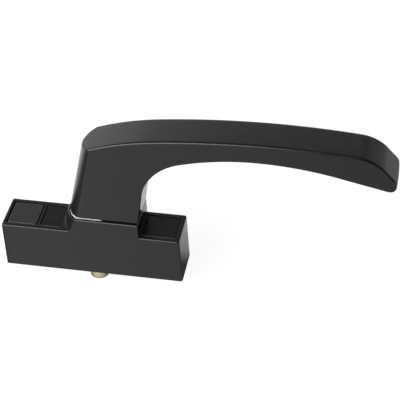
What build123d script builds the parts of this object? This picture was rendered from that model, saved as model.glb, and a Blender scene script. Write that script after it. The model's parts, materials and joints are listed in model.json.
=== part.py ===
from build123d import *
import math
import os

# Window handle with a push lock. Millimetres. The origin is on the turning axis of the lever, in the plane of
# the mounting face. +X runs along the housing towards the tip of the lever, +Z out of the window into the room.

# Housing block
base_length = 90.0
base_width = 20.5
deck_height = 26.4
end_draft = 1.35
corner_round = 1.2
edge_round = 0.8
side_wall = 2.0
end_wall = 1.8
deck_wall = 2.4

# Collar that carries the neck of the lever
collar_rise = 8.0
collar_foot_radius = 14.2
collar_foot_round = 0.6
collar_top_radius = 12.0
collar_reach = 24.8

# Lever. Its side view is a chain of arcs that run into each other, from the shoulder over the grip and the tip
# and back under the fingers to the neck. Angles are in degrees.
lever_width = 18.6
heel_gap = 1.0
neck_left = 10.9
neck_left_lean = 0.243
neck_right_lean = 9.0
neck_bow_foot = 6.0
neck_bow_top = 4.0
shoulder_x = -6.0
shoulder_height = 38.5
shoulder_heading = 26.0
rise_radius = 130.0
rise_angle = 18.9
crown_radius = 430.0
crown_angle = 12.44
knuckle_radius = 19.0
knuckle_angle = 43.75
tip_run = 7.6
tip_radius = 3.6
tip_angle = 144.2
underside_run = 23.5
underside_radius = 160.0
underside_angle = 13.2
arch_radius = 121.2
arch_angle = 17.4
throat_radius = 27.5
neck_foot_radius = 21.0
neck_foot_angle = 12.9
tip_bow = 0.5
tip_trim = 0.1
tip_plan_round = 2.0
crease_round = 1.0

# Hub, spindle and index disc
hub_radius = 7.0
hub_end = 13.0
hub_root = 3.0
running_gap = 0.06
drive_square = 6.0
drive_gap = 0.05
drive_depth = 11.0
drive_end_gap = 0.5
disc_radius = 8.2
disc_pocket_gap = 0.15
disc_thickness = 5.0
spindle_radius = 4.9
spindle_reach = 10.3
spindle_rise = 1.0
spindle_waist = 4.4
spindle_slot = 2.4
spindle_slot_depth = 2.6
spindle_chamfer = 0.7
screw_radius = 1.6
screw_head_radius = 2.8
screw_head_height = 2.2
screw_head_chamfer = 0.4
screw_cross_length = 3.2
screw_cross_width = 0.7
screw_cross_depth = 1.2
screw_grip = 7.0
screw_end_gap = 0.5

# Bearings
bush_wall = 1.5
bush_length = 6.0
bearing_end = 14.2
slip_washer_radius = 10.9
slip_washer_flat = 9.0
disc_spring_thickness = 0.6
disc_spring_dish = 0.45
fit_gap = 0.05

# Stop and detent
stop_circle = 6.6
stop_pin_radius = 0.9
stop_pin_floor = 0.3
stop_pin_end_gap = 0.2
stop_step = 1.6
stop_angle = 315.0
turn_range = 90.0
ball_radius = 1.6
ball_travel = 0.7
ball_gap = 0.07
carrier_length = 13.0
carrier_width = 6.4
carrier_front = 1.1
carrier_roof = 1.2
carrier_corner = 0.8
detent_spring_turns = 4
detent_spring_wire = 0.25
detent_spring_length = 7.5

# Push lock
button_skirt_gap = 0.75
button_gap = 0.7
button_margin = 1.7
button_stroke = 3.0
button_skirt = 9.0
button_wall = 1.4
button_top = 2.5
button_corner = 0.8
button_edge = 0.5
button_pin_radius = 1.0
leg_width = 4.4
leg_thickness = 1.4
leg_end = 1.2
slide_post_gap = 0.3
nose_post_gap = 0.5
slide_strip_thickness = 1.5
slide_lift = 0.7
slide_height = 3.6
slide_gap = 0.1
slide_cheek_wall = 1.3
tongue_width = 3.0
tongue_shoulder = 0.4
tongue_rest_gap = 0.8
nose_thickness = 3.4
button_spring_radius = 3.0
button_spring_wire = 0.35
button_spring_turns = 5
spring_seat = 6.0
spring_peg_height = 3.0
spring_peg_gap = 0.3
guide_gap = 0.3
guide_link_drop = 2.0
guide_link_width = 1.9
rail_overrun = 1.0

# Fixing screws of the handle, their wells and the caps over them
right_post_inset = 10.5
fixing_hole_radius = 2.6
post_radius = 4.2
well_radius = 4.9
well_wall = 1.2
well_land = 0.3
well_depth = 6.4
cap_thickness = 1.5
cap_sink = 0.25
cap_gap = 0.15
cap_corner = 1.2
cap_edge = 0.3
cap_side_land = 2.65
cap_button_land = 1.25
cap_collar_land = 1.15
right_cap_length = 16.6
cap_spigot_length = 2.5
cap_spigot_wall = 0.9

# Back plate and its screws
plate_thickness = 1.5
plate_gap = 0.15
plate_corner = 0.8
plate_spindle_gap = 0.8
plate_screw_radius = 1.25
plate_screw_head = 2.3
plate_screw_head_height = 1.2
plate_screw_length = 7.0
plate_screw_end_gap = 1.0
plate_screw_boss = 2.4
plate_screw_wall_gap = 0.25
plate_screw_post_step = 7.0
plate_screw_cross_length = 2.6
plate_screw_cross_width = 0.6
plate_screw_cross_depth = 0.7

# Heights and places that follow from the sizes above. Cuts and joins run past the faces they meet by pass_by.
pass_by = 1.0
collar_top = deck_height + collar_rise
heel = collar_top + heel_gap
ceiling = deck_height - deck_wall
well_floor = deck_height - well_depth
inner_width = base_width - 2 * side_wall
inner_half = base_length / 2 - end_wall
bush_radius = hub_radius + running_gap + bush_wall
disc_floor = hub_end - disc_thickness
socket_side = drive_square + 2 * drive_gap
socket_top = hub_end + drive_depth
screw_seat = -spindle_reach + spindle_slot_depth + screw_head_height
stop_pin_x = stop_circle * math.cos(math.radians(stop_angle))
stop_pin_y = stop_circle * math.sin(math.radians(stop_angle))
ball_x = disc_radius + ball_gap + ball_radius
ball_z = (disc_floor + stop_step + hub_end) / 2
carrier_start = ball_x - carrier_front
tongue_tip = -(disc_radius + tongue_rest_gap)
left_post_x = tongue_tip - 2 * nose_thickness - nose_post_gap - post_radius
button_half = inner_width / 2 - button_skirt_gap
button_start = button_margin + button_gap - base_length / 2
button_end = left_post_x - well_radius - well_wall - well_land - button_gap
button_x = (button_start + button_end) / 2
strip_inner = post_radius + slide_post_gap
strip_outer = strip_inner + slide_strip_thickness
slide_floor = disc_floor + slide_lift
slide_bottom = slide_floor + slide_gap
slide_top = slide_bottom + slide_height
button_pin_z = (slide_bottom + slide_top) / 2
leg_inner = strip_inner - slide_gap - leg_thickness
button_spring_y = (leg_inner + button_wall - button_half) / 2
cap_width = base_width - 2 * cap_side_land
left_cap_start = button_end + button_gap + cap_button_land
left_cap_end = -collar_foot_radius - cap_collar_land
right_post_x = base_length / 2 - right_post_inset
right_cap_start = right_post_x - right_cap_length / 2
right_cap_end = right_post_x + right_cap_length / 2
plate_screw_y = plate_screw_boss + plate_screw_wall_gap - inner_width / 2
right_plate_screw_x = (carrier_start + carrier_length + right_post_x - post_radius) / 2
plate_screw_places = ((left_post_x + plate_screw_post_step, plate_screw_y), (right_plate_screw_x, 0.0))


def block(x0, x1, y0, y1, z0, z1):
    return Pos((x0 + x1) / 2, (y0 + y1) / 2, (z0 + z1) / 2) * Box(x1 - x0, y1 - y0, z1 - z0)


def square_bar(side, z0, z1):
    return block(-side / 2, side / 2, -side / 2, side / 2, z0, z1)


def drum(radius, z0, z1, x=0.0, y=0.0):
    return Pos(x, y, (z0 + z1) / 2) * Cylinder(radius, z1 - z0)


def rounded_plate(x0, x1, width, radius, z0, z1):
    outline = RectangleRounded(x1 - x0, width, radius)
    return Pos((x0 + x1) / 2, 0, z0) * extrude(outline, z1 - z0)


def cross_recess(length, width, z0, z1, x=0.0, y=0.0):
    bar = block(-length / 2, length / 2, -width / 2, width / 2, z0, z1)
    return Pos(x, y, 0) * (bar + Rot(0, 0, 90) * bar)


def coil(radius, wire, turns, length):
    """Open coil spring that stands on z = 0, with its thin square wire inside the given length."""
    path = Helix((length - 2 * wire) / turns, length - 2 * wire, radius - wire)
    section = Plane(origin=path @ 0, z_dir=path % 0) * RegularPolygon(wire, 4)
    return Pos(0, 0, wire) * sweep(section, path, is_frenet=True)


def make_collar():
    """It starts below the rounded deck edge, so its sides run down flush with the sides of the block."""
    root = deck_height - edge_round
    foot_radius = collar_foot_radius + collar_foot_round
    half = base_width / 2
    foot = (collar_foot_radius, deck_height)
    profile = Polygon((0, root), (foot_radius, root), (foot_radius, deck_height), foot,
                      (collar_top_radius, collar_top), (0, collar_top), align=None)
    profile = fillet(profile.vertices().sort_by_distance(Vector(*foot))[0], collar_foot_round)
    collar = revolve(Plane.XZ * profile, Axis.Z) & block(-foot_radius, 0, -half, half, root, collar_top)
    collar += block(0, collar_reach, -half, half, root, collar_top)
    return fillet(collar.edges().group_by(Axis.Z)[-1], edge_round)


def make_housing():
    taper = deck_height * math.tan(math.radians(end_draft))
    half = base_length / 2
    side = Polygon((-half - taper, 0), (half + taper, 0), (half, deck_height), (-half, deck_height), align=None)
    body = extrude(Plane.XZ * side, base_width / 2, both=True)
    body = fillet(body.edges().filter_by(lambda e: abs(e.tangent_at(0.5).Z) > 0.9), corner_round)
    body = fillet(body.edges().group_by(Axis.Z)[-1], edge_round)
    body += make_collar()

    hollow = block(-inner_half, inner_half, -inner_width / 2, inner_width / 2, 0, ceiling)
    hollow -= drum(bush_radius + side_wall, bearing_end, ceiling)
    for x in (left_post_x, right_post_x):
        hollow -= drum(post_radius, plate_thickness, ceiling, x)
        hollow -= drum(well_radius + well_wall, well_floor - well_wall, ceiling, x)
    for x, y in plate_screw_places:
        hollow -= drum(plate_screw_boss, plate_thickness, ceiling, x, y)
    body -= hollow

    body -= drum(bush_radius + fit_gap, bearing_end - pass_by, collar_top + pass_by)
    for x in (left_post_x, right_post_x):
        body -= drum(fixing_hole_radius, 0, deck_height, x)
        body -= drum(well_radius, well_floor, deck_height, x)
    for x, y in plate_screw_places:
        body -= drum(plate_screw_radius + fit_gap, 0, plate_screw_length + plate_screw_end_gap, x, y)
    body -= drum(disc_radius + disc_pocket_gap, 0, bearing_end)
    for x0, x1 in ((left_cap_start, left_cap_end), (right_cap_start, right_cap_end)):
        body -= rounded_plate(x0 - cap_gap, x1 + cap_gap, cap_width + 2 * cap_gap, cap_corner + cap_gap,
                              deck_height - cap_sink - cap_thickness, deck_height + pass_by)
    body -= rounded_plate(button_start - button_gap, button_end + button_gap, 2 * (button_half + button_gap),
                          button_corner + button_gap / 2, ceiling - pass_by, deck_height + pass_by)
    return body


def lever_outline():
    """Side view of the lever, x to the right and height upwards."""
    foot = Vector(shoulder_x - neck_left, heel)
    shoulder = Vector(shoulder_x, heel + shoulder_height)
    edges = [Line(foot, shoulder)]
    heading = shoulder_heading
    throat_angle = 90 - neck_right_lean - neck_foot_angle - arch_angle
    steps = (
        (rise_radius, -rise_angle),
        (crown_radius, -crown_angle),
        (knuckle_radius, -knuckle_angle),
        (tip_run, 0),
        (tip_radius, -tip_angle),
        (underside_run, 0),
        (underside_radius, underside_angle),
        (arch_radius, arch_angle),
        (throat_radius, throat_angle),
        (neck_foot_radius, neck_foot_angle),
    )
    place = shoulder
    for size, turn in steps:
        ahead = Vector(1, 0).rotate(Axis.Z, heading)
        edges.append(JernArc(place, ahead, size, turn) if turn else Line(place, place + ahead * size))
        place = edges[-1] @ 1
        heading += turn
    drop = Vector(1, 0).rotate(Axis.Z, heading)
    heel_right = place + drop * ((heel - place.Y) / drop.Y)
    edges += [Line(place, heel_right), Line(heel_right, foot)]
    return make_face(edges)


def neck_section(z, bow, far):
    """Plan of the lever at one height: a bowed left end, straight flanks and an open right end."""
    x = -neck_left + neck_left_lean * (z - heel)
    front = Vector(x + bow, -lever_width / 2)
    back = Vector(x + bow, lever_width / 2)
    bowed_end = ThreePointArc(front, Vector(x, 0), back)
    flanks = Polyline(back, Vector(far, lever_width / 2), Vector(far, -lever_width / 2), front)
    return Plane.XY.offset(z) * make_face([bowed_end, *flanks.edges()])


def tip_plan(end):
    """Plan of the lever: a slightly bowed right end with rounded corners and straight flanks."""
    front = Vector(end - tip_bow, -lever_width / 2)
    back = Vector(end - tip_bow, lever_width / 2)
    flanks = Polyline(back, Vector(-end, lever_width / 2), Vector(-end, -lever_width / 2), front)
    plan = make_face([ThreePointArc(front, Vector(end, 0), back), *flanks.edges()])
    return fillet(plan.vertices().group_by(Axis.X)[-1], tip_plan_round)


def make_lever():
    body = extrude(Plane.XZ * lever_outline(), lever_width / 2, both=True)
    top = heel + 2 * shoulder_height
    tip_x = body.bounding_box().max.X
    foot_section = neck_section(heel - pass_by, neck_bow_foot, 2 * tip_x)
    top_section = neck_section(top, neck_bow_top, 2 * tip_x)
    body &= loft(Sketch() + [foot_section, top_section], ruled=True)
    body &= extrude(Plane.XY.offset(heel) * tip_plan(tip_x - tip_trim), top - heel)
    body = fillet(body.edges().filter_by(lambda e: e.center().Z > heel + crease_round / 2), crease_round)

    body += drum(hub_radius, hub_end, heel + hub_root) - square_bar(socket_side, hub_end, socket_top)
    return body - drum(screw_radius + fit_gap, socket_top - pass_by, socket_top + screw_grip + screw_end_gap)


def make_slip_washer():
    washer = drum(slip_washer_radius, collar_top, heel - fit_gap)
    washer &= block(-slip_washer_radius, slip_washer_radius, -slip_washer_flat, slip_washer_flat, collar_top, heel)
    return washer - drum(hub_radius + running_gap, collar_top, heel)


def make_bush(z0):
    return drum(bush_radius, z0, z0 + bush_length) - drum(hub_radius + running_gap, z0, z0 + bush_length)


def make_disc_spring():
    """Dished spring washer between the index disc and the lower bush."""
    inner, outer = hub_radius + running_gap, disc_radius - fit_gap
    low = hub_end + fit_gap
    high = low + disc_spring_dish
    rise = disc_spring_thickness
    section = Polygon((inner, high), (outer, low), (outer, low + rise), (inner, high + rise), align=None)
    return revolve(Plane.XZ * section, Axis.Z)


def make_index_disc():
    disc = drum(disc_radius, disc_floor, hub_end) - square_bar(socket_side, disc_floor, hub_end)
    slot_half = tongue_width / 2 + slide_gap
    slot_end = tongue_tip + button_stroke + 2 * slide_gap
    lock_notch = block(-disc_radius - pass_by, slot_end, -slot_half, slot_half, disc_floor, hub_end)
    ball_seat = drum(ball_radius + ball_gap, disc_floor + stop_step, hub_end, ball_x - ball_travel)
    for angle in (0, -turn_range):
        disc -= Rot(0, 0, angle) * lock_notch
        disc -= Rot(0, 0, angle) * ball_seat

    pin_angle = math.degrees(math.asin((stop_pin_radius + fit_gap) / stop_circle))
    reach = 2 * disc_radius
    first = Vector(reach, 0).rotate(Axis.Z, stop_angle - turn_range - pin_angle)
    middle = Vector(reach, 0).rotate(Axis.Z, stop_angle - turn_range / 2)
    last = Vector(reach, 0).rotate(Axis.Z, stop_angle + pin_angle)
    sector = make_face([Line((0, 0), first), ThreePointArc(first, middle, last), Line(last, (0, 0))])
    step = extrude(Plane.XY.offset(disc_floor) * sector, stop_step)
    return disc - (step - drum(stop_circle - stop_pin_radius - fit_gap, disc_floor, disc_floor + stop_step))


def make_spindle():
    bottom = -spindle_reach
    stem = drum(spindle_radius, bottom, spindle_rise)
    stem = chamfer(stem.edges().group_by(Axis.Z)[0], spindle_chamfer)
    stem += drum(spindle_waist, spindle_rise, disc_floor)
    stem += square_bar(drive_square, disc_floor, socket_top - drive_end_gap)
    stem -= block(-spindle_radius, spindle_radius, -spindle_slot / 2, spindle_slot / 2, bottom,
                  bottom + spindle_slot_depth)
    stem -= drum(screw_head_radius + fit_gap, bottom, screw_seat)
    return stem - drum(screw_radius + fit_gap, bottom, socket_top)


def make_spindle_screw():
    head_end = screw_seat - screw_head_height
    head = drum(screw_head_radius, head_end, screw_seat)
    head = chamfer(head.edges().group_by(Axis.Z)[0], screw_head_chamfer)
    screw = head + drum(screw_radius, screw_seat, socket_top + screw_grip)
    return screw - cross_recess(screw_cross_length, screw_cross_width, head_end, head_end + screw_cross_depth)


def make_stop_pin():
    return drum(stop_pin_radius, stop_pin_floor, disc_floor + stop_step - stop_pin_end_gap, stop_pin_x, stop_pin_y)


def make_detent_carrier():
    half = carrier_width / 2
    end = carrier_start + carrier_length
    body = block(carrier_start, end, -half, half, plate_thickness, ball_z + ball_radius + carrier_roof)
    body = fillet(body.edges().filter_by(Axis.Z), carrier_corner)
    bore_end = ball_x + ball_radius + detent_spring_length
    bore = Cylinder(ball_radius + fit_gap, bore_end - carrier_start)
    return body - Pos((carrier_start + bore_end) / 2, 0, ball_z) * Rot(0, 90, 0) * bore


def make_detent_ball():
    return Pos(ball_x, 0, ball_z) * Sphere(ball_radius)


def make_detent_spring():
    spring = coil(ball_radius - 2 * fit_gap, detent_spring_wire, detent_spring_turns, detent_spring_length)
    return Pos(ball_x + ball_radius, 0, ball_z) * Rot(0, 90, 0) * spring


def cross_pin(radius, y0, y1):
    return Pos(button_x, (y0 + y1) / 2, button_pin_z) * Rot(90, 0, 0) * Cylinder(radius, y1 - y0)


def make_lock_slide():
    """Flat bar beside the left post. A sloping slot in its cheek takes the button pin."""
    nose = tongue_tip - nose_thickness
    slide = block(button_x, nose, strip_inner, strip_outer, slide_bottom, slide_top)
    slide += block(nose - nose_thickness, nose, -tongue_width / 2 - tongue_shoulder, strip_outer, slide_bottom,
                   slide_top)
    slide += block(nose - nose_thickness / 2, tongue_tip, -tongue_width / 2, tongue_width / 2, slide_bottom,
                   slide_top)
    slot_x, slot_z = slot_centre()
    half = cheek_half()
    slide += block(slot_x - half, slot_x + half, strip_inner, strip_outer, slot_z - half, slot_z + half)
    slot = SlotCenterToCenter(math.hypot(button_stroke, button_stroke), 2 * button_pin_radius + slide_gap)
    slot = Plane.XZ * (Pos(slot_x, slot_z) * Rot(0, 0, 45) * slot)
    return slide - extrude(slot, strip_outer + pass_by, both=True)


def slot_centre():
    return button_x - button_stroke / 2, button_pin_z - button_stroke / 2


def cheek_half():
    return button_stroke / 2 + button_pin_radius + slide_cheek_wall


def make_lock_button():
    bottom = deck_height - button_skirt
    body = rounded_plate(button_start, button_end, 2 * button_half, button_corner, bottom, deck_height)
    body = fillet(body.edges().group_by(Axis.Z)[-1], button_edge)
    hollow = button_half - button_wall
    under_top = deck_height - button_top
    body -= block(button_start + button_wall, button_end - button_wall, -hollow, hollow, bottom, under_top)
    leg_bottom = button_pin_z - button_pin_radius - leg_end
    for y0, y1 in ((leg_inner, leg_inner + leg_thickness), (strip_outer + slide_gap, button_half)):
        body += block(button_x - leg_width / 2, button_x + leg_width / 2, y0, y1, leg_bottom, under_top)
    return body - cross_pin(button_pin_radius + fit_gap / 2, leg_inner - pass_by, button_half + pass_by)


def make_button_pin():
    return cross_pin(button_pin_radius, leg_inner, button_half)


def make_button_spring():
    length = deck_height - button_top - spring_seat
    spring = coil(button_spring_radius, button_spring_wire, button_spring_turns, length)
    return Pos(button_x, button_spring_y, spring_seat) * spring


def make_slide_guide():
    """Seat and peg of the button spring, and the rail that the slide runs on."""
    wall = inner_width / 2 - guide_gap
    seat_edge = leg_inner - guide_gap
    guide = block(button_start, button_end, -wall, seat_edge, plate_thickness, spring_seat)
    peg_radius = button_spring_radius - 2 * button_spring_wire - spring_peg_gap
    guide += drum(peg_radius, spring_seat, spring_seat + spring_peg_height, button_x, button_spring_y)
    rail_start = slot_centre()[0] + cheek_half() + button_stroke + guide_gap
    rail_end = left_post_x + post_radius + rail_overrun
    guide += block(rail_start, rail_end, strip_inner, wall, plate_thickness, slide_floor)
    guide += block(button_x, rail_start + guide_link_width, seat_edge - pass_by, strip_inner + pass_by,
                   plate_thickness, spring_seat - guide_link_drop)
    return guide


def make_cap(x0, x1, post_x):
    top = deck_height - cap_sink
    underside = top - cap_thickness
    cap = rounded_plate(x0, x1, cap_width, cap_corner, underside, top)
    cap = chamfer(cap.edges().group_by(Axis.Z)[-1], cap_edge)
    radius = well_radius - cap_gap
    cap += drum(radius, underside - cap_spigot_length, underside, post_x)
    return cap - drum(radius - cap_spigot_wall, underside - cap_spigot_length, underside, post_x)


def make_back_plate():
    half = inner_half - plate_gap
    plate = rounded_plate(-half, half, inner_width - 2 * plate_gap, plate_corner, 0, plate_thickness)
    plate -= drum(spindle_radius + plate_spindle_gap, 0, plate_thickness)
    for x in (left_post_x, right_post_x):
        plate -= drum(fixing_hole_radius, 0, plate_thickness, x)
    for x, y in plate_screw_places:
        plate -= plate_screw_body(x, y, fit_gap)
    return plate - drum(stop_pin_radius + fit_gap / 2, stop_pin_floor, plate_thickness, stop_pin_x, stop_pin_y)


def plate_screw_body(x, y, grown=0.0):
    """Countersunk head and shank, larger all round by the given amount."""
    height = plate_screw_head_height
    head = Pos(x, y, height / 2) * Cone(plate_screw_head + grown, plate_screw_radius + grown, height)
    return head + drum(plate_screw_radius + grown, 0, plate_screw_length, x, y)


def make_plate_screw(x, y):
    return plate_screw_body(x, y) - cross_recess(plate_screw_cross_length, plate_screw_cross_width, 0,
                                                 plate_screw_cross_depth, x, y)


pieces = {
    "housing": make_housing(),
    "lever": make_lever(),
    "slip_washer": make_slip_washer(),
    "left_cap": make_cap(left_cap_start, left_cap_end, left_post_x),
    "right_cap": make_cap(right_cap_start, right_cap_end, right_post_x),
    "lock_button": make_lock_button(),
    "button_pin": make_button_pin(),
    "button_spring": make_button_spring(),
    "lock_slide": make_lock_slide(),
    "slide_guide": make_slide_guide(),
    "index_disc": make_index_disc(),
    "spindle": make_spindle(),
    "spindle_screw": make_spindle_screw(),
    "upper_bush": make_bush(collar_top - bush_length),
    "lower_bush": make_bush(bearing_end),
    "disc_spring": make_disc_spring(),
    "stop_pin": make_stop_pin(),
    "detent_carrier": make_detent_carrier(),
    "detent_ball": make_detent_ball(),
    "detent_spring": make_detent_spring(),
    "back_plate": make_back_plate(),
    "back_plate_screws": Compound(children=[make_plate_screw(x, y) for x, y in plate_screw_places]),
}

os.makedirs("parts", exist_ok=True)
for name, piece in pieces.items():
    export_step(piece, f"parts/{name}.step")
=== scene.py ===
import json
import math

import bmesh
import bpy
import numpy as np
from mathutils import Matrix, Vector


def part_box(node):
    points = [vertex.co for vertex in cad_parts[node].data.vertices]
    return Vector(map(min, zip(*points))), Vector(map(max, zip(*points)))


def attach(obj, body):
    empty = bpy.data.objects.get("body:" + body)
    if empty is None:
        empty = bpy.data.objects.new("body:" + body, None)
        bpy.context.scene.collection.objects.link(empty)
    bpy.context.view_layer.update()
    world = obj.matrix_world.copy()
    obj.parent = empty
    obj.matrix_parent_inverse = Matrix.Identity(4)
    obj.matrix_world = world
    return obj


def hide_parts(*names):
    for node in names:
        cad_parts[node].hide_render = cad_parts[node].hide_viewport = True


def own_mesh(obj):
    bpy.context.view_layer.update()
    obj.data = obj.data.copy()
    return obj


# Window handle with a push lock, in satin black. Metres, and degrees for angles.
# The origin is on the turning axis of the lever, in the plane of the mounting face.
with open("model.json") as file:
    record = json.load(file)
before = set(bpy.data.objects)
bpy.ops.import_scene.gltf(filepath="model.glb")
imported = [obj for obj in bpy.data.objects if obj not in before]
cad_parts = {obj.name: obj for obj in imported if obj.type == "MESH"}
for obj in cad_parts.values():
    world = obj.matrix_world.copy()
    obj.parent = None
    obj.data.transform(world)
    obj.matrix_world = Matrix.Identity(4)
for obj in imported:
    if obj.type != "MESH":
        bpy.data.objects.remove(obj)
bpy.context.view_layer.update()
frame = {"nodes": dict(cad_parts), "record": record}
nodes = frame["nodes"]

# Camera
VIEW_AZIMUTH = 12.043
VIEW_ELEVATION = 41.025
VIEW_ROLL = -2.444
VIEW_DISTANCE = 0.6147
VIEW_AIM = Vector((0.02521, 0.0, 0.0))
VIEW_PAN = (0.02693, 0.03205)
LENS = 109.16
SENSOR = 36.0
CLIP_START = 0.01
CLIP_END = 100.0

# Floor: levels of its glow in reflections, which is painted light, and the places between which they fade
FLOOR_GAP = 0.0002
FLOOR_SIZE = 12.0
FLOOR_ALBEDO = 0.2
BACKDROP_LEVEL = 0.9
FRONT_GLOW = 0.66
FRONT_GLOW_RIGHT = 0.42
# Painted shadow: the glow is lower just behind the part and dims to the dark level under it
BACK_GLOW_SHADOWED_NEAR = 0.55
BACK_GLOW_FAR = 1.06
RIGHT_GLOW = 0.6
SHADOW_AND_DARK_GLOW = 0.03
LEFT_SKEW = -0.6
LEFT_FADE = (-0.046, -0.034)
LONG_FADE = (-0.06, 0.18)
# Painted shadow: the glow dims under the part and is zero just behind it
FRONT_SHADOW_FADE = (-0.012, -0.002)
BACK_SHADOW_FADE = (0.012, 0.026)
BACK_SHADOW_RISE = (0.02, 0.07)
RIGHT_FADE = (0.08, 0.16)

# Sky: its levels, and the directions between which they fade
HORIZON_LEVEL = 1.15
ZENITH_LEVEL = 0.10
SKY_FADE = (0.48, 0.66)
RIGHT_SKY = 0.4
SIDE_TURN = (0.0, 0.3)
FRONT_SKY = 0.12
SKY_TURN = (-0.1, 0.5)

# Lamps: both are aimed at this place
LIGHT_AIM = Vector((0.04, 0.0, 0.045))

# Finishes: the moulded blacks are a level times these tones
SATIN_IOR = 1.48
CAP_IOR = 1.36
COAT_EDGE = 0.0003
EDGE_SAMPLES = 8
GRAIN_DEPTH = 0.00002
NOISE_SPAN = (0.3, 0.7)
MOULD_TONE = (1.0, 1.0, 1.04)
MOULD_DARK = (0.9, 0.9, 0.94)
MOULD_LIGHT = (1.15, 1.15, 1.2)

# Lever: the same form as its solid
LEVER_WIDTH = 0.0186
LEVER_HEEL = 0.0354
LEVER_LEFT = -0.0109
LEVER_LEAN = 0.243
LEVER_BOW_FOOT = 0.006
LEVER_BOW_TOP = 0.004
LEVER_BOW_SPAN = 0.077
LEVER_ROUND = 0.001
SHOULDER = Vector((-0.006, 0.0739))
SHOULDER_HEADING = 26.0
TIP_BOW = 0.0005
TIP_PLAN_ROUND = 0.002

# Side view of the lever: arcs of a radius and a turn, or runs of a length and no turn
CROWN_STEPS = ((0.130, -18.9), (0.430, -12.44), (0.019, -43.75), (0.0076, 0.0), (0.0036, -72.1))
UNDERSIDE_STEPS = ((0.0036, -72.1), (0.0235, 0.0), (0.160, 13.2), (0.1212, 17.4), (0.0275, 50.7),
                   (0.021, 12.9))

# Fineness of the lever's skin: shares of its way from heel to tip, with the number of rings in each
STATION_SPANS = (((0.0, 0.14), 40), ((0.14, 0.30), 160), ((0.30, 0.94), 210), ((0.94, 0.997), 60))
RING_STEPS = 24
TRACE_STEPS = 200
RAY_REACH = 1.6
RAY_HALVINGS = 26
SHARP_ANGLE = 35
WELD = 1e-6
TINY = 1e-9
FAR = 1.0
LEAN_LIMIT = 0.9999

# Spring under the button: its closed turns are those at each end
COIL_TURNS = 7
COIL_CLOSED_TURNS = 1
COIL_STEPS = 40
COIL_SIDES = 12
COIL_WIRE = 0.00035
COIL_CLOSE = 1.1


def direction(azimuth, elevation):
    """Unit vector from the object towards a place in the studio. Azimuth 0 is in front, 90 to the right."""
    a, e = math.radians(azimuth), math.radians(elevation)
    return Vector((math.sin(a) * math.cos(e), -math.cos(a) * math.cos(e), math.sin(e)))


def add_object(name, data):
    thing = bpy.data.objects.new(name, data)
    bpy.context.scene.collection.objects.link(thing)
    return thing


def make_camera():
    """Camera with a roll about its own axis, moved right and up by the pan."""
    azimuth, roll = math.radians(VIEW_AZIMUTH), math.radians(VIEW_ROLL)
    back = direction(VIEW_AZIMUTH, VIEW_ELEVATION)
    level = Vector((math.cos(azimuth), math.sin(azimuth), 0.0))
    upright = back.cross(level)
    right = math.cos(roll) * level + math.sin(roll) * upright
    up = math.cos(roll) * upright - math.sin(roll) * level
    data = bpy.data.cameras.new("camera")
    data.lens = LENS
    data.sensor_width = SENSOR
    data.clip_start = CLIP_START
    data.clip_end = CLIP_END
    camera = add_object("camera", data)
    turn = Matrix((right, up, back)).transposed().to_4x4()
    place = VIEW_AIM + VIEW_PAN[0] * right + VIEW_PAN[1] * up + VIEW_DISTANCE * back
    camera.matrix_world = Matrix.Translation(place) @ turn
    bpy.context.scene.camera = camera


def make_softbox(name, azimuth, elevation, distance, width, height, level):
    """Area lamp that faces the object. Its level is the radiance of its face, where 1 is white."""
    data = bpy.data.lights.new(name, "AREA")
    data.shape = "RECTANGLE"
    data.size = width
    data.size_y = height
    data.energy = level * math.pi * width * height
    lamp = add_object(name, data)
    towards = direction(azimuth, elevation)
    lamp.location = LIGHT_AIM + distance * towards
    lamp.rotation_mode = "QUATERNION"
    lamp.rotation_quaternion = towards.to_track_quat("Z", "Y")


def ramp(tree, value, span, low, high):
    """Soft step between two levels over a span of the value."""
    fade = tree.nodes.new("ShaderNodeMapRange")
    fade.interpolation_type = "SMOOTHSTEP"
    fade.inputs["From Min"].default_value = span[0]
    fade.inputs["From Max"].default_value = span[1]
    fade.inputs["To Min"].default_value = low
    fade.inputs["To Max"].default_value = high
    tree.links.new(value, fade.inputs["Value"])
    return fade.outputs["Result"]


def combine(tree, operation, first, second):
    """Sum, product or the like of two values, each a number or a node's output."""
    node = tree.nodes.new("ShaderNodeMath")
    node.operation = operation
    for socket, value in zip(node.inputs, (first, second)):
        if isinstance(value, float):
            socket.default_value = value
        else:
            tree.links.new(value, socket)
    return node.outputs[0]


def coordinates(tree, kind):
    """X, Y and Z of a kind of texture coordinate."""
    place = tree.nodes.new("ShaderNodeTexCoord")
    split = tree.nodes.new("ShaderNodeSeparateXYZ")
    tree.links.new(place.outputs[kind], split.inputs[0])
    return split.outputs["X"], split.outputs["Y"], split.outputs["Z"]


def make_world():
    """White behind the object near the horizon, darker above, in front and to the right."""
    world = bpy.data.worlds.new("studio")
    bpy.context.scene.world = world
    world.use_nodes = True
    tree = world.node_tree
    x, y, z = coordinates(tree, "Generated")
    upward = ramp(tree, z, SKY_FADE, HORIZON_LEVEL, ZENITH_LEVEL)
    level = combine(tree, "MULTIPLY", upward, ramp(tree, y, SKY_TURN, FRONT_SKY, 1.0))
    level = combine(tree, "MULTIPLY", level, ramp(tree, x, SIDE_TURN, 1.0, RIGHT_SKY))
    tree.links.new(level, tree.nodes["Background"].inputs["Strength"])
    tree.nodes["Background"].inputs["Color"].default_value = (1, 1, 1, 1)


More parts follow.
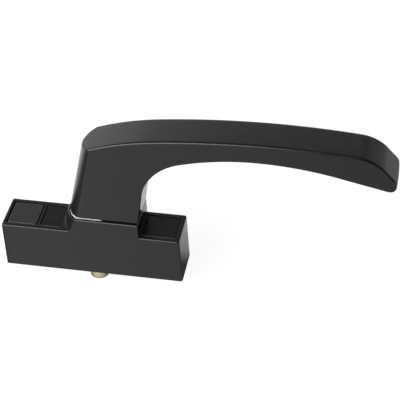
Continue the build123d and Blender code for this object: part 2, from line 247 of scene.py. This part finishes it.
def painted_floor_reflection(tree):
    """Painted light of the floor in reflections: bright in front and behind, weaker to the right, else dark.
    The dark under and just behind the part is painted shadow.
    """
    along, across, _ = coordinates(tree, "Object")
    # The front glow dims under the part: painted shadow.
    front = combine(tree, "MULTIPLY", ramp(tree, across, FRONT_SHADOW_FADE, 1.0, SHADOW_AND_DARK_GLOW),
                    ramp(tree, along, LONG_FADE, FRONT_GLOW, FRONT_GLOW_RIGHT))
    skewed = combine(tree, "ADD", along, combine(tree, "MULTIPLY", across, LEFT_SKEW))
    front = combine(tree, "MULTIPLY", front, ramp(tree, skewed, LEFT_FADE, SHADOW_AND_DARK_GLOW, 1.0))
    # The back glow is zero just behind the part and rises with distance: painted shadow.
    back = combine(tree, "MULTIPLY", ramp(tree, across, BACK_SHADOW_FADE, 0.0, 1.0),
                   ramp(tree, across, BACK_SHADOW_RISE, BACK_GLOW_SHADOWED_NEAR, BACK_GLOW_FAR))
    back = combine(tree, "MULTIPLY", back, ramp(tree, along, RIGHT_FADE, 1.0, RIGHT_GLOW))
    return combine(tree, "ADD", front, back)


def make_floor():
    """Plane that is white to the camera, glows in reflections and is matt to all other light. The glow in
    reflections is painted light, with painted shadow near the part.
    """
    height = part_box("spindle")[0].z - FLOOR_GAP
    bpy.ops.mesh.primitive_plane_add(size=FLOOR_SIZE, location=(0, 0, height))
    floor = bpy.context.object
    floor.name = "floor"
    material = bpy.data.materials.new("floor")
    material.use_nodes = True
    tree = material.node_tree
    tree.nodes.clear()
    out = tree.nodes.new("ShaderNodeOutputMaterial")
    matt = tree.nodes.new("ShaderNodeBsdfDiffuse")
    matt.inputs["Color"].default_value = (FLOOR_ALBEDO, FLOOR_ALBEDO, FLOOR_ALBEDO, 1)
    glow = tree.nodes.new("ShaderNodeEmission")
    path = tree.nodes.new("ShaderNodeLightPath")
    bounced = combine(tree, "MAXIMUM", path.outputs["Is Glossy Ray"], path.outputs["Is Transmission Ray"])
    # Painted light and shadow of the floor, seen only in reflections
    painted_reflection = combine(tree, "MULTIPLY", painted_floor_reflection(tree), bounced)
    backdrop = combine(tree, "MULTIPLY", path.outputs["Is Camera Ray"], BACKDROP_LEVEL)
    tree.links.new(combine(tree, "ADD", painted_reflection, backdrop), glow.inputs["Strength"])
    both = tree.nodes.new("ShaderNodeAddShader")
    tree.links.new(matt.outputs[0], both.inputs[0])
    tree.links.new(glow.outputs[0], both.inputs[1])
    tree.links.new(both.outputs[0], out.inputs["Surface"])
    floor.data.materials.append(material)


def new_material(name, color, roughness, metallic=0.0):
    material = bpy.data.materials.new(name)
    material.use_nodes = True
    shader = material.node_tree.nodes["Principled BSDF"]
    shader.inputs["Base Color"].default_value = (*color, 1)
    shader.inputs["Roughness"].default_value = roughness
    shader.inputs["Metallic"].default_value = metallic
    return material, shader


def noise(material, size, detail=3.0, seed=0.0):
    """Noise in the object's own space. The size is that of its largest grains."""
    tree = material.node_tree
    place = tree.nodes.new("ShaderNodeTexCoord")
    shift = tree.nodes.new("ShaderNodeVectorMath")
    shift.operation = "ADD"
    shift.inputs[1].default_value = (seed, seed, seed)
    grain = tree.nodes.new("ShaderNodeTexNoise")
    grain.inputs["Scale"].default_value = 1 / size
    grain.inputs["Detail"].default_value = detail
    tree.links.new(place.outputs["Object"], shift.inputs[0])
    tree.links.new(shift.outputs[0], grain.inputs["Vector"])
    return grain.outputs["Fac"]


def roughen(material, shader, fac, low, high):
    """Roughness that goes from low to high with a noise."""
    tree = material.node_tree
    spread_out = tree.nodes.new("ShaderNodeMapRange")
    spread_out.inputs["From Min"].default_value = NOISE_SPAN[0]
    spread_out.inputs["From Max"].default_value = NOISE_SPAN[1]
    spread_out.inputs["To Min"].default_value = low
    spread_out.inputs["To Max"].default_value = high
    tree.links.new(fac, spread_out.inputs["Value"])
    tree.links.new(spread_out.outputs["Result"], shader.inputs["Roughness"])


def tint(material, shader, fac, dark, light):
    """Colour that goes from dark to light with a noise."""
    tree = material.node_tree
    mix = tree.nodes.new("ShaderNodeMix")
    mix.data_type = "RGBA"
    mix.inputs["A"].default_value = (*dark, 1)
    mix.inputs["B"].default_value = (*light, 1)
    tree.links.new(fac, mix.inputs["Factor"])
    tree.links.new(mix.outputs["Result"], shader.inputs["Base Color"])


def bump(material, shader, fac, strength, edge_radius=0.0):
    """Fine relief. An edge radius softens how the sharp edges catch the light, as paint does."""
    tree = material.node_tree
    node = tree.nodes.new("ShaderNodeBump")
    node.inputs["Distance"].default_value = GRAIN_DEPTH
    node.inputs["Strength"].default_value = strength
    tree.links.new(fac, node.inputs["Height"])
    if edge_radius > 0.0:
        soft = tree.nodes.new("ShaderNodeBevel")
        soft.samples = EDGE_SAMPLES
        soft.inputs["Radius"].default_value = edge_radius
        tree.links.new(soft.outputs["Normal"], node.inputs["Normal"])
    tree.links.new(node.outputs["Normal"], shader.inputs["Normal"])


def black_coat():
    """Satin paint of the castings."""
    material, shader = new_material("black_coat", color=(0.007, 0.007, 0.0075), roughness=0.25)
    shader.inputs["IOR"].default_value = SATIN_IOR
    tint(material, shader, noise(material, size=0.012),
         dark=(0.006, 0.006, 0.0065), light=(0.008, 0.008, 0.0085))
    roughen(material, shader, noise(material, size=0.004, seed=3.0), low=0.22, high=0.28)
    bump(material, shader, noise(material, size=0.0006, detail=2.0, seed=7.0), strength=0.2,
         edge_radius=COAT_EDGE)
    return material


def moulded_black(name, level, low, high, ior):
    """Moulded plastic of a level of black, with a roughness from low to high."""
    color, dark, light = [tuple(level * c for c in tone) for tone in (MOULD_TONE, MOULD_DARK, MOULD_LIGHT)]
    material, shader = new_material(name, color=color, roughness=0.5)
    shader.inputs["IOR"].default_value = ior
    tint(material, shader, noise(material, size=0.006), dark=dark, light=light)
    roughen(material, shader, noise(material, size=0.003, seed=2.0), low=low, high=high)
    bump(material, shader, noise(material, size=0.0004, detail=2.0, seed=5.0), strength=0.6)
    return material


def black_cap():
    return moulded_black("black_cap", level=0.004, low=0.28, high=0.36, ior=CAP_IOR)


def button_black():
    return moulded_black("button_black", level=0.018, low=0.34, high=0.42, ior=SATIN_IOR)


def pale_washer():
    material, shader = new_material("pale_washer", color=(0.60, 0.61, 0.62), roughness=0.4)
    tint(material, shader, noise(material, size=0.003), dark=(0.56, 0.57, 0.58), light=(0.63, 0.64, 0.65))
    return material


def brass():
    material, shader = new_material("brass", color=(0.80, 0.71, 0.48), roughness=0.38, metallic=1.0)
    tint(material, shader, noise(material, size=0.002), dark=(0.75, 0.66, 0.43), light=(0.86, 0.78, 0.55))
    roughen(material, shader, noise(material, size=0.0012, seed=4.0), low=0.3, high=0.48)
    return material


def zinc_steel():
    material, shader = new_material("zinc_steel", color=(0.6, 0.6, 0.6), roughness=0.35, metallic=1.0)
    tint(material, shader, noise(material, size=0.003), dark=(0.52, 0.53, 0.54), light=(0.66, 0.66, 0.65))
    roughen(material, shader, noise(material, size=0.0015, seed=4.0), low=0.28, high=0.45)
    return material


def spring_steel():
    material, shader = new_material("spring_steel", color=(0.45, 0.45, 0.46), roughness=0.3, metallic=1.0)
    roughen(material, shader, noise(material, size=0.001), low=0.22, high=0.38)
    return material


def bearing_plastic():
    material, shader = new_material("bearing_plastic", color=(0.8, 0.79, 0.75), roughness=0.45)
    tint(material, shader, noise(material, size=0.004), dark=(0.77, 0.76, 0.71), light=(0.82, 0.81, 0.78))
    return material


def dress_nodes():
    """Gives each node the finish of its slot, and the button one of its own. Returns the slots' finishes."""
    makers = (black_coat, black_cap, pale_washer, brass, zinc_steel, spring_steel, bearing_plastic)
    finishes = {maker.__name__: maker() for maker in makers}
    own = {"lock_button": button_black()}
    for row in frame["record"]["subparts"]:
        data = nodes[row["node"]].data
        data.materials.clear()
        data.materials.append(own.get(row["node"], finishes[row["material_slot"]]))
    return finishes


def skin(mesh, rings):
    """Faces between neighbouring rings and over both ends. All the mesh's faces then point outwards."""
    for first, second in zip(rings, rings[1:]):
        for k in range(len(first)):
            mesh.faces.new((first[k - 1], first[k], second[k], second[k - 1]))
    mesh.faces.new(rings[0])
    mesh.faces.new(rings[-1])
    bmesh.ops.recalc_face_normals(mesh, faces=mesh.faces)


def to_data(mesh, name):
    data = bpy.data.meshes.new(name)
    mesh.to_mesh(data)
    mesh.free()
    return data


def tube_mesh(name, path, radius, sides):
    """Closed tube along a path that winds round an upright axis."""
    mesh = bmesh.new()
    rings = []
    for i, place in enumerate(path):
        along = (path[min(i + 1, len(path) - 1)] - path[max(i - 1, 0)]).normalized()
        out = along.cross(Vector((0, 0, 1))).normalized()
        up = out.cross(along)
        angles = [2 * math.pi * k / sides for k in range(sides)]
        spokes = [math.cos(a) * out + math.sin(a) * up for a in angles]
        rings.append([mesh.verts.new(place + radius * spoke) for spoke in spokes])
    skin(mesh, rings)
    for face in mesh.faces:
        face.smooth = len(face.verts) == 4
    return to_data(mesh, name)


def coil_path(low, length, middle, coil_radius):
    """Middle line of the wire, from below, with close-wound turns at both ends."""
    all_open = COIL_TURNS - 2 * COIL_CLOSED_TURNS
    climb = (length - 2 * COIL_WIRE * (1 + 2 * COIL_CLOSED_TURNS * COIL_CLOSE)) / all_open
    path = []
    for i in range(COIL_TURNS * COIL_STEPS + 1):
        turn = i / COIL_STEPS
        open_turns = min(max(turn - COIL_CLOSED_TURNS, 0), all_open)
        closed_turns = turn - open_turns
        height = low.z + COIL_WIRE + closed_turns * 2 * COIL_WIRE * COIL_CLOSE + open_turns * climb
        angle = 2 * math.pi * turn
        x = middle.x + coil_radius * math.cos(angle)
        y = middle.y + coil_radius * math.sin(angle)
        path.append(Vector((x, y, height)))
    return path


def make_button_coil(finish):
    """Spring under the button, of round wire."""
    low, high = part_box("button_spring")
    length = high.z - low.z
    middle = (low + high) / 2
    path = coil_path(low, length, middle, (high.x - low.x) / 2 - COIL_WIRE)
    coil = add_object("button_coil", tube_mesh("button_coil", path, COIL_WIRE, COIL_SIDES))
    coil.data.materials.append(finish)
    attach(coil, "housing")
    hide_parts("button_spring")
    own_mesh(coil)


class Stretch:
    """Arc of an outline, or a straight run if its turn is zero. The body is on its right."""

    def __init__(self, start, heading, size, turn):
        self.start = np.array(start)
        self.size = size
        self.turn = turn
        self.ahead = np.array((math.cos(heading), math.sin(heading)))
        self.left = np.array((-self.ahead[1], self.ahead[0]))
        self.centre = self.start + math.copysign(size, turn) * self.left
        self.length = size * abs(turn) if turn else size

    def place(self, way):
        """Place at this way along the stretch."""
        if not self.turn:
            return self.start + way * self.ahead
        angle = math.copysign(way / self.size, self.turn)
        spoke = self.start - self.centre
        c, s = math.cos(angle), math.sin(angle)
        return self.centre + np.array((c * spoke[0] - s * spoke[1], s * spoke[0] + c * spoke[1]))

    def distance(self, points):
        """Distance outwards from the stretch, its direction, and whether the point lies beside it."""
        if not self.turn:
            offset = points - self.start
            way = offset @ self.ahead
            beside = (way >= 0) & (way <= self.length)
            return offset @ self.left, np.tile(self.left, (len(points), 1)), beside
        side = math.copysign(1, self.turn)
        offset = points - self.centre
        reach = np.maximum(np.hypot(*offset.T), TINY)
        first = self.start - self.centre
        angle = np.arctan2(offset[:, 1], offset[:, 0]) - math.atan2(first[1], first[0])
        beside = np.mod(side * angle + TINY, 2 * math.pi) <= abs(self.turn) + 2 * TINY
        return side * (self.size - reach), -side * offset / reach[:, None], beside


def chain(start, heading, steps):
    """Stretches that follow each other without a corner, and the place and heading at their end."""
    stretches = []
    for size, turn in steps:
        stretches.append(Stretch(start, heading, size, math.radians(turn)))
        start = stretches[-1].place(stretches[-1].length)
        heading += math.radians(turn)
    return stretches, start, heading


def trace(stretches):
    """Closely spaced places along a chain."""
    places = [s.place(s.length * i / TRACE_STEPS) for s in stretches for i in range(TRACE_STEPS)]
    return np.array(places + [stretches[-1].place(stretches[-1].length)])


def spread(places, shares):
    """Places along a path at these shares of its length."""
    ways = np.concatenate(([0], np.cumsum(np.hypot(*np.diff(places, axis=0).T))))
    return np.column_stack([np.interp(shares * ways[-1], ways, places[:, i]) for i in range(2)])


def rounded(first, second, radius):
    """Common space of two bodies, with a round of this radius along their edge.

    Each is given as a distance from its skin and the direction of that distance, and so is the result.
    """
    (a, a_dir), (b, b_dir) = first, second
    u, v = a + radius, b + radius
    lean = np.clip(np.sum(a_dir * b_dir, axis=1), -LEAN_LIMIT, LEAN_LIMIT)
    share_a = (u - lean * v) / (1 - lean ** 2)
    share_b = (v - lean * u) / (1 - lean ** 2)
    spoke = share_a[:, None] * a_dir + share_b[:, None] * b_dir
    reach = np.maximum(np.linalg.norm(spoke, axis=1), TINY)
    corner = (share_a > 0) & (share_b > 0)
    flat = np.where((a > b)[:, None], a_dir, b_dir)
    return (np.where(corner, reach, np.maximum(u, v)) - radius,
            np.where(corner[:, None], spoke / reach[:, None], flat))


def outline_distance(points, stretches):
    """Distance from the side view's outline, which reaches right across the lever."""
    best = np.full(len(points), FAR)
    out = np.full(len(points), -FAR)
    towards = np.tile((0.0, 0.0, 1.0), (len(points), 1))
    for stretch in stretches:
        d, normal, beside = stretch.distance(points[:, ::2])
        closer = beside & (np.abs(d) < best)
        best[closer], out[closer] = np.abs(d[closer]), d[closer]
        towards[closer] = np.column_stack((normal[:, 0], np.zeros(len(d)), normal[:, 1]))[closer]
    return out, towards


def neck_distance(points):
    """Distance from the bowed left end of the neck, which leans and gets flatter upwards."""
    x, y, z = points.T
    fall = (LEVER_BOW_TOP - LEVER_BOW_FOOT) / LEVER_BOW_SPAN
    bow = LEVER_BOW_FOOT + fall * (z - LEVER_HEEL)
    radius = bow / 2 + (LEVER_WIDTH / 2) ** 2 / (2 * bow)
    growth = (0.5 - (LEVER_WIDTH / 2) ** 2 / (2 * bow ** 2)) * fall
    middle = LEVER_LEFT + LEVER_LEAN * (z - LEVER_HEEL) + radius
    reach = np.maximum(np.hypot(x - middle, y), TINY)
    slope = -(x - middle) / reach * (LEVER_LEAN + growth) - growth
    towards = np.column_stack(((x - middle) / reach, y / reach, slope))
    size = np.linalg.norm(towards, axis=1)
    left = x < middle
    leftward = np.tile((-1.0, 0.0, 0.0), (len(x), 1))
    return (np.where(left, (reach - radius) / size, -FAR),
            np.where(left[:, None], towards / size[:, None], leftward))


def tip_distance(points, end):
    """Distance from the slightly bowed right end of the lever."""
    radius = TIP_BOW / 2 + (LEVER_WIDTH / 2) ** 2 / (2 * TIP_BOW)
    offset = points[:, :2] - (end - radius, 0.0)
    reach = np.maximum(np.hypot(*offset.T), TINY)
    right = offset[:, 0] > 0
    towards = np.column_stack((offset / reach[:, None], np.zeros(len(points))))
    return np.where(right, reach - radius, -FAR), np.where(right[:, None], towards, (1.0, 0.0, 0.0))


def lever_distance(points, stretches, end):
    """Distance from the lever's skin, more than zero outside."""
    flanks = np.column_stack((np.zeros(len(points)), np.sign(points[:, 1]), np.zeros(len(points))))
    plan = (np.abs(points[:, 1]) - LEVER_WIDTH / 2, flanks)
    plan = rounded(plan, tip_distance(points, end), TIP_PLAN_ROUND)
    plan = rounded(plan, neck_distance(points), LEVER_ROUND)
    return rounded(plan, outline_distance(points, stretches), LEVER_ROUND)[0]


def ring_square():
    """Places round a square from -1 to 1, closer together near its corners."""
    side = np.sin(np.linspace(-math.pi / 2, math.pi / 2, RING_STEPS + 1))[:-1]
    ones = np.ones(RING_STEPS)
    return np.vstack((np.column_stack((ones, side)), np.column_stack((-side, ones)),
                      np.column_stack((-ones, -side)), np.column_stack((side, -ones))))


def lever_outline():
    """Stretches of the side view, and its upper and its lower edge from the heel to the tip."""
    crown, tip, heading = chain((SHOULDER.x, SHOULDER.y), math.radians(SHOULDER_HEADING), CROWN_STEPS)
    below, foot, heading = chain(tip, heading, UNDERSIDE_STEPS)
    drop = Stretch(foot, heading, (LEVER_HEEL - LEVER_ROUND - foot[1]) / math.sin(heading), 0.0)
    upper = trace(crown)
    upper = upper[upper[:, 0] > LEVER_LEFT + LEVER_LEAN * (upper[:, 1] - LEVER_HEEL)]
    upper = np.vstack(([LEVER_LEFT, LEVER_HEEL], upper))
    heel_right = foot + (LEVER_HEEL - foot[1]) / math.sin(heading) * drop.ahead
    lower = np.vstack((trace(below), heel_right))[::-1]
    return crown + below + [drop], upper, lower


def lever_rings():
    """Rings of places on the lever's skin, from the heel to the tip.

    Each ring has its middle between the upper and the lower edge, and rays from there find the skin.
    """
    stretches, upper, lower = lever_outline()
    shares = np.concatenate([np.linspace(*span, steps, endpoint=False) for span, steps in STATION_SPANS])
    outer, inner = spread(upper, shares), spread(lower, shares)
    middle, half = (outer + inner) / 2, (outer - inner) / 2
    square = ring_square()
    rays = np.zeros((len(shares), len(square), 3))
    rays[:, :, ::2] = half[:, None, :] * square[None, :, :1]
    rays[:, :, 1] = LEVER_WIDTH / 2 * square[None, :, 1]
    origins = np.zeros_like(rays)
    origins[:, :, ::2] = middle[:, None, :]
    rays, origins = rays.reshape(-1, 3), origins.reshape(-1, 3)
    low, high = np.zeros(len(rays)), np.full(len(rays), RAY_REACH)
    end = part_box("lever")[1].x
    for _ in range(RAY_HALVINGS):
        way = (low + high) / 2
        outside = lever_distance(origins + way[:, None] * rays, stretches, end) > 0
        low, high = np.where(outside, low, way), np.where(outside, way, high)
    return (origins + low[:, None] * rays).reshape(len(shares), len(square), 3)


def is_above_heel(face):
    heights = [v.co.z for v in face.verts]
    return max(heights) > LEVER_HEEL + WELD or min(heights) > LEVER_HEEL - WELD


def hub_mesh():
    """The hub below the heel as it is in the solid, closed at the heel."""
    mesh = bmesh.new()
    mesh.from_mesh(nodes["lever"].data)
    bmesh.ops.remove_doubles(mesh, verts=mesh.verts, dist=WELD)
    bmesh.ops.delete(mesh, geom=[f for f in mesh.faces if is_above_heel(f)], context="FACES")
    bmesh.ops.holes_fill(mesh, edges=[e for e in mesh.edges if e.is_boundary])
    return mesh


def make_lever_casting(finish):
    """The lever with its hub, and with a skin of smooth rings from the heel to the tip."""
    mesh = hub_mesh()
    skin(mesh, [[mesh.verts.new(place) for place in ring] for ring in lever_rings()])
    for face in mesh.faces:
        face.smooth = True
    data = to_data(mesh, "lever_casting")
    data.set_sharp_from_angle(angle=math.radians(SHARP_ANGLE))
    lever = add_object("lever_casting", data)
    data.materials.append(finish)
    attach(lever, "handle")
    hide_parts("lever")


bpy.context.scene.view_settings.view_transform = "Standard"
make_camera()
make_world()
make_floor()
make_softbox("key", azimuth=-41, elevation=33, distance=1.0, width=1.2, height=0.8, level=5.7)
make_softbox("top", azimuth=20, elevation=82, distance=1.0, width=0.6, height=0.6, level=0.6)
finishes = dress_nodes()
make_button_coil(finishes["spring_steel"])
make_lever_casting(finishes["black_coat"])
